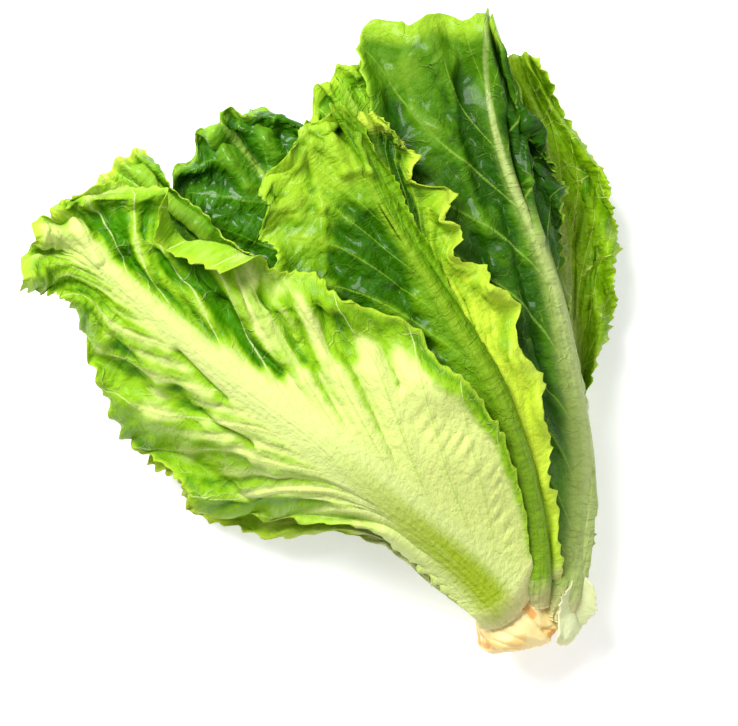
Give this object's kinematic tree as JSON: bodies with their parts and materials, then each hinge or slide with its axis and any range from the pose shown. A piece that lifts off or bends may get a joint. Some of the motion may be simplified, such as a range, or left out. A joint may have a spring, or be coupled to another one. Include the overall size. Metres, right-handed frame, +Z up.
{
  "type": "romaine lettuce head",
  "caption": "Head of romaine lettuce lying on its side, its broad ruffled leaves fanned out from a short cut stem.",
  "frame": {"origin": "on the surface that the head lies on, under the middle of the head's box", "axes": "+Y runs from the cut stem towards the leaf tips, +Z is up from the surface, +X is to the right as seen from above with the tips away from the viewer"},
  "size_m": [0.2512, 0.2812, 0.0972],
  "materials": {
    "stem": "creamy, fibrous cut stem with faint orange-brown scars",
    "leaf_pale": "pale green rib and lime blade of an outer leaf, soft sheen",
    "leaf_fresh": "fresh mid green leaf, soft sheen",
    "leaf_lime": "bright lime, thin and translucent leaf",
    "leaf_dark": "dark green glossy leaf with a pale grey-green rib",
    "leaf_stub": "pale grey-green ribbed scale"
  },
  "bodies": {
    "root": {"stem": "stem", "leaf_front_left": "leaf_pale", "leaf_front_right": "leaf_dark", "leaf_front_middle": "leaf_fresh", "leaf_curled_edge": "leaf_lime", "leaf_back_left": "leaf_fresh", "leaf_back_right": "leaf_fresh", "leaf_back_middle": "leaf_dark", "leaf_heart_upper": "leaf_fresh", "leaf_heart_lower": "leaf_fresh", "leaf_far_right": "leaf_lime", "leaf_low_left": "leaf_pale", "leaf_under_middle": "leaf_pale", "leaf_under_left": "leaf_pale", "leaf_under_right": "leaf_pale", "leaf_stub": "leaf_stub"}
  },
  "joints": []
}
